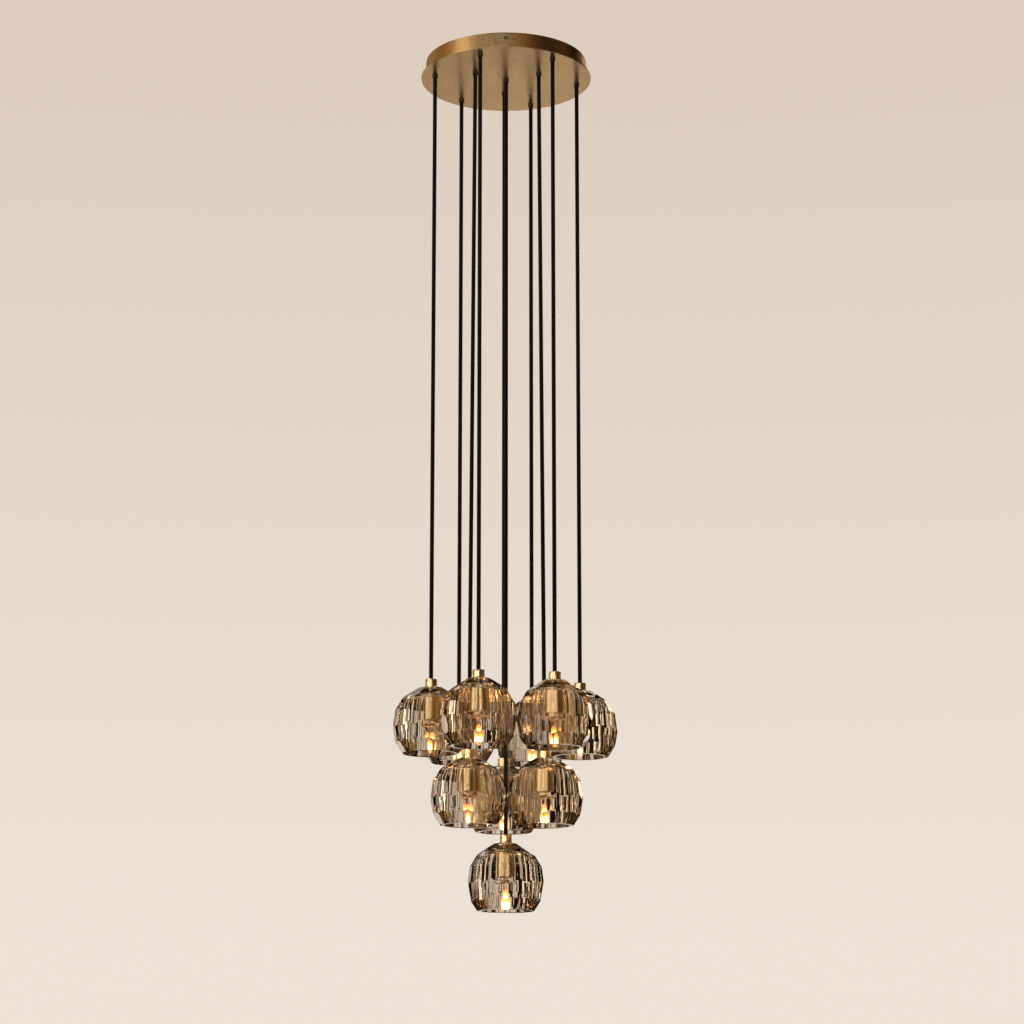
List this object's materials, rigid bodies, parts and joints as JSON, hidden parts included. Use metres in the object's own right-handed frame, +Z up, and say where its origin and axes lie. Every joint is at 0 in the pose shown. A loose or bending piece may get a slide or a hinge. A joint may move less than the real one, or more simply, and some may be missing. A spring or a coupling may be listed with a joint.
{
  "type": "cluster pendant",
  "caption": "Cluster pendant: faceted smoke-glass shades with brass fittings hang in tiers on black cords from a round brass canopy.",
  "frame": {"origin": "centre of the ceiling face, between the two ceiling screw holes of the bracket, where the light meets the ceiling", "axes": "+Z up into the ceiling, -Y the front with the visible side screw, +X to the right seen from the front"},
  "size_m": [0.3758, 0.3634, 1.489],
  "materials": {
    "satin_brass": "satin brushed, aged",
    "bright_brass": "plain",
    "zinc_steel": "zinc plated",
    "black_nylon": "matte",
    "block_nylon": "matte",
    "lead_sheath": "satin",
    "black_fabric": "woven",
    "smoke_crystal": "polished, smoke tint",
    "white_ceramic": "unglazed",
    "lit_glass": "clear, lit"
  },
  "bodies": {
    "root": {"canopy_plate": "satin_brass", "canopy_ring": "satin_brass", "ceiling_bracket": "zinc_steel", "side_screws": "satin_brass", "cord_grips": "black_nylon", "grip_nuts": "zinc_steel", "terminal_block": "block_nylon", "clamp_screws": "zinc_steel", "lead_wires": "lead_sheath", "earth_screw": "bright_brass", "cord_07": "black_fabric", "cord_08": "black_fabric", "cord_09": "black_fabric", "cord_10": "black_fabric"},
    "hanger_01": {"cord_01": "black_fabric"},
    "pendant_01": {"fitting_01": "satin_brass", "shade_01": "smoke_crystal", "lampholder_01": "white_ceramic"},
    "lamp_01": {"bulb_01": "lit_glass"},
    "hanger_02": {"cord_02": "black_fabric"},
    "pendant_02": {"fitting_02": "satin_brass", "shade_02": "smoke_crystal", "lampholder_02": "white_ceramic"},
    "lamp_02": {"bulb_02": "lit_glass"},
    "hanger_03": {"cord_03": "black_fabric"},
    "pendant_03": {"fitting_03": "satin_brass", "shade_03": "smoke_crystal", "lampholder_03": "white_ceramic"},
    "lamp_03": {"bulb_03": "lit_glass"},
    "hanger_04": {"cord_04": "black_fabric"},
    "pendant_04": {"fitting_04": "satin_brass", "shade_04": "smoke_crystal", "lampholder_04": "white_ceramic"},
    "lamp_04": {"bulb_04": "lit_glass"},
    "hanger_05": {"cord_05": "black_fabric"},
    "pendant_05": {"fitting_05": "satin_brass", "shade_05": "smoke_crystal", "lampholder_05": "white_ceramic"},
    "lamp_05": {"bulb_05": "lit_glass"},
    "hanger_06": {"cord_06": "black_fabric"},
    "pendant_06": {"fitting_06": "satin_brass", "shade_06": "smoke_crystal", "lampholder_06": "white_ceramic"},
    "lamp_06": {"bulb_06": "lit_glass"},
    "pendant_07": {"fitting_07": "satin_brass", "shade_07": "smoke_crystal", "lampholder_07": "white_ceramic"},
    "lamp_07": {"bulb_07": "lit_glass"},
    "pendant_08": {"fitting_08": "satin_brass", "shade_08": "smoke_crystal", "lampholder_08": "white_ceramic"},
    "lamp_08": {"bulb_08": "lit_glass"},
    "pendant_09": {"fitting_09": "satin_brass", "shade_09": "smoke_crystal", "lampholder_09": "white_ceramic"},
    "lamp_09": {"bulb_09": "lit_glass"},
    "pendant_10": {"fitting_10": "satin_brass", "shade_10": "smoke_crystal", "lampholder_10": "white_ceramic"},
    "lamp_10": {"bulb_10": "lit_glass"}
  },
  "joints": [
    {"name": "swing_01", "type": "hinge", "parent": "root", "child": "hanger_01", "pos_m": [0.12511, 0.02094, -0.0324], "axis": [0.165, -0.9863, 0], "range_deg": [0, 10]},
    {"name": "twist_01", "type": "hinge", "parent": "hanger_01", "child": "pendant_01", "pos_m": [0.12511, 0.02094, -1.231], "axis": [0, 0, 1], "range_deg": [-180, 180]},
    {"name": "bulb_pull_01", "type": "slide", "parent": "pendant_01", "child": "lamp_01", "axis": [0, 0, -1], "range_m": [0, 0.013]},
    {"name": "swing_02", "type": "hinge", "parent": "root", "child": "hanger_02", "pos_m": [0.04442, 0.11881, -0.0324], "axis": [0.9367, -0.3502, 0], "range_deg": [0, 10]},
    {"name": "twist_02", "type": "hinge", "parent": "hanger_02", "child": "pendant_02", "pos_m": [0.04442, 0.11881, -1.231], "axis": [0, 0, 1], "range_deg": [-180, 180]},
    {"name": "bulb_pull_02", "type": "slide", "parent": "pendant_02", "child": "lamp_02", "axis": [0, 0, -1], "range_m": [0, 0.013]},
    {"name": "swing_03", "type": "hinge", "parent": "root", "child": "hanger_03", "pos_m": [-0.08068, 0.09788, -0.0324], "axis": [0.7716, 0.6361, 0], "range_deg": [0, 10]},
    {"name": "twist_03", "type": "hinge", "parent": "hanger_03", "child": "pendant_03", "pos_m": [-0.08068, 0.09788, -1.231], "axis": [0, 0, 1], "range_deg": [-180, 180]},
    {"name": "bulb_pull_03", "type": "slide", "parent": "pendant_03", "child": "lamp_03", "axis": [0, 0, -1], "range_m": [0, 0.013]},
    {"name": "swing_04", "type": "hinge", "parent": "root", "child": "hanger_04", "pos_m": [-0.12511, -0.02094, -0.0324], "axis": [-0.165, 0.9863, 0], "range_deg": [0, 10]},
    {"name": "twist_04", "type": "hinge", "parent": "hanger_04", "child": "pendant_04", "pos_m": [-0.12511, -0.02094, -1.231], "axis": [0, 0, 1], "range_deg": [-180, 180]},
    {"name": "bulb_pull_04", "type": "slide", "parent": "pendant_04", "child": "lamp_04", "axis": [0, 0, -1], "range_m": [0, 0.013]},
    {"name": "swing_05", "type": "hinge", "parent": "root", "child": "hanger_05", "pos_m": [-0.04442, -0.11881, -0.0324], "axis": [-0.9367, 0.3502, 0], "range_deg": [0, 10]},
    {"name": "twist_05", "type": "hinge", "parent": "hanger_05", "child": "pendant_05", "pos_m": [-0.04442, -0.11881, -1.231], "axis": [0, 0, 1], "range_deg": [-180, 180]},
    {"name": "bulb_pull_05", "type": "slide", "parent": "pendant_05", "child": "lamp_05", "axis": [0, 0, -1], "range_m": [0, 0.013]},
    {"name": "swing_06", "type": "hinge", "parent": "root", "child": "hanger_06", "pos_m": [0.08068, -0.09788, -0.0324], "axis": [-0.7716, -0.6361, 0], "range_deg": [0, 10]},
    {"name": "twist_06", "type": "hinge", "parent": "hanger_06", "child": "pendant_06", "pos_m": [0.08068, -0.09788, -1.231], "axis": [0, 0, 1], "range_deg": [-180, 180]},
    {"name": "bulb_pull_06", "type": "slide", "parent": "pendant_06", "child": "lamp_06", "axis": [0, 0, -1], "range_m": [0, 0.013]},
    {"name": "twist_07", "type": "hinge", "parent": "root", "child": "pendant_07", "pos_m": [-0.00383, 0.07313, -1.352], "axis": [0.0003, -0.0067, 1], "range_deg": [-180, 180]},
    {"name": "bulb_pull_07", "type": "slide", "parent": "pendant_07", "child": "lamp_07", "axis": [-0.0003, 0.0067, -1], "range_m": [0, 0.013]},
    {"name": "twist_08", "type": "hinge", "parent": "root", "child": "pendant_08", "pos_m": [-0.06142, -0.03989, -1.352], "axis": [0.0056, 0.0036, 1], "range_deg": [-180, 180]},
    {"name": "bulb_pull_08", "type": "slide", "parent": "pendant_08", "child": "lamp_08", "axis": [-0.0056, -0.0036, -1], "range_m": [0, 0.013]},
    {"name": "twist_09", "type": "hinge", "parent": "root", "child": "pendant_09", "pos_m": [0.06525, -0.03325, -1.352], "axis": [-0.0059, 0.003, 1], "range_deg": [-180, 180]},
    {"name": "bulb_pull_09", "type": "slide", "parent": "pendant_09", "child": "lamp_09", "axis": [0.0059, -0.003, -1], "range_m": [0, 0.013]},
    {"name": "twist_10", "type": "hinge", "parent": "root", "child": "pendant_10", "pos_m": [0, 0, -1.489], "axis": [0, 0, 1], "range_deg": [-180, 180]},
    {"name": "bulb_pull_10", "type": "slide", "parent": "pendant_10", "child": "lamp_10", "axis": [0, 0, -1], "range_m": [0, 0.013]}
  ]
}
